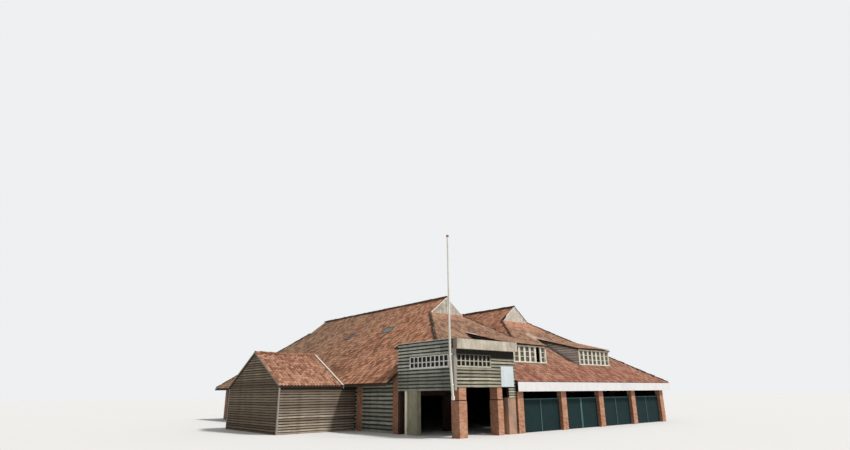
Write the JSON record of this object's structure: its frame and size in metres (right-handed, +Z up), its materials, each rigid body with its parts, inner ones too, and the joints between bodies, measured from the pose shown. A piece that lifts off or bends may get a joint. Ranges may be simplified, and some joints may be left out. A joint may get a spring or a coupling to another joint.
{
  "type": "factory building",
  "caption": "Old factory hall with twin tiled hipped roofs, dormers, a timber-clad corner bay raised on brick pillars, and a boarded side annex.",
  "frame": {"origin": "middle of the whole footprint's box, on the ground", "axes": "+Y from the front with the dormers to the rear, along the ridges; +X to the right along the front; +Z up"},
  "size_m": [31.31, 36.6, 11.85],
  "materials": {
    "roof_tiles": "weathered clay pantiles",
    "ridge_tiles": "weathered clay and mortar",
    "weathered_boards": "grey, rough, unpainted",
    "gablet_boards": "thin worn paint",
    "painted_boards": "white gloss paint, aged",
    "fascia_boards": "cream paint, stained",
    "window_frames": "cream paint, aged",
    "window_glass": "dusty",
    "brick": "red brick in lime mortar",
    "render": "smooth cement render, stained",
    "timber_frame": "sawn structural timber",
    "infill_boards": "teal paint, aged",
    "roof_felt": "matt bitumen felt",
    "zinc_sheet": "dull grey zinc sheet",
    "notice_metal": "white sheet, bare",
    "flagpole_paint": "white paint, weathered"
  },
  "bodies": {
    "root": {"left_roof_slope": "roof_tiles", "left_inner_slope": "roof_tiles", "right_inner_slope": "roof_tiles", "right_roof_slope": "roof_tiles", "front_roof_slope": "roof_tiles", "rear_roof_slope": "roof_tiles", "ridge_tiles": "ridge_tiles", "hip_tiles": "ridge_tiles", "valley_gutter": "zinc_sheet", "gablet_walls": "gablet_boards", "bargeboards": "painted_boards", "dormer_roofs": "roof_tiles", "dormer_cheeks": "weathered_boards", "dormer_frames": "window_frames", "dormer_glass": "window_glass", "roof_lights": "window_glass", "eaves_board": "painted_boards", "eaves_beam": "timber_frame", "front_pillars": "brick", "infill_panels": "infill_boards", "left_wall": "weathered_boards", "right_wall": "weathered_boards", "rear_wall": "weathered_boards", "wall_piers": "brick", "valley_frame": "timber_frame", "bay_left_wall": "weathered_boards", "bay_front_wall": "weathered_boards", "bay_right_wall": "weathered_boards", "bay_rear_wall": "weathered_boards", "bay_floor": "timber_frame", "bay_roof": "roof_felt", "bay_fascia": "fascia_boards", "bay_capping": "zinc_sheet", "bay_corner_boards": "weathered_boards", "bay_window_frames": "window_frames", "bay_glass": "window_glass", "notice_board": "notice_metal", "bay_pillars": "brick", "rendered_piers": "render", "bay_post": "painted_boards", "porch_wall": "brick", "flagpole": "flagpole_paint", "annex_side_walls": "weathered_boards", "annex_gable_wall": "weathered_boards", "annex_roof": "roof_tiles"}
  },
  "joints": []
}
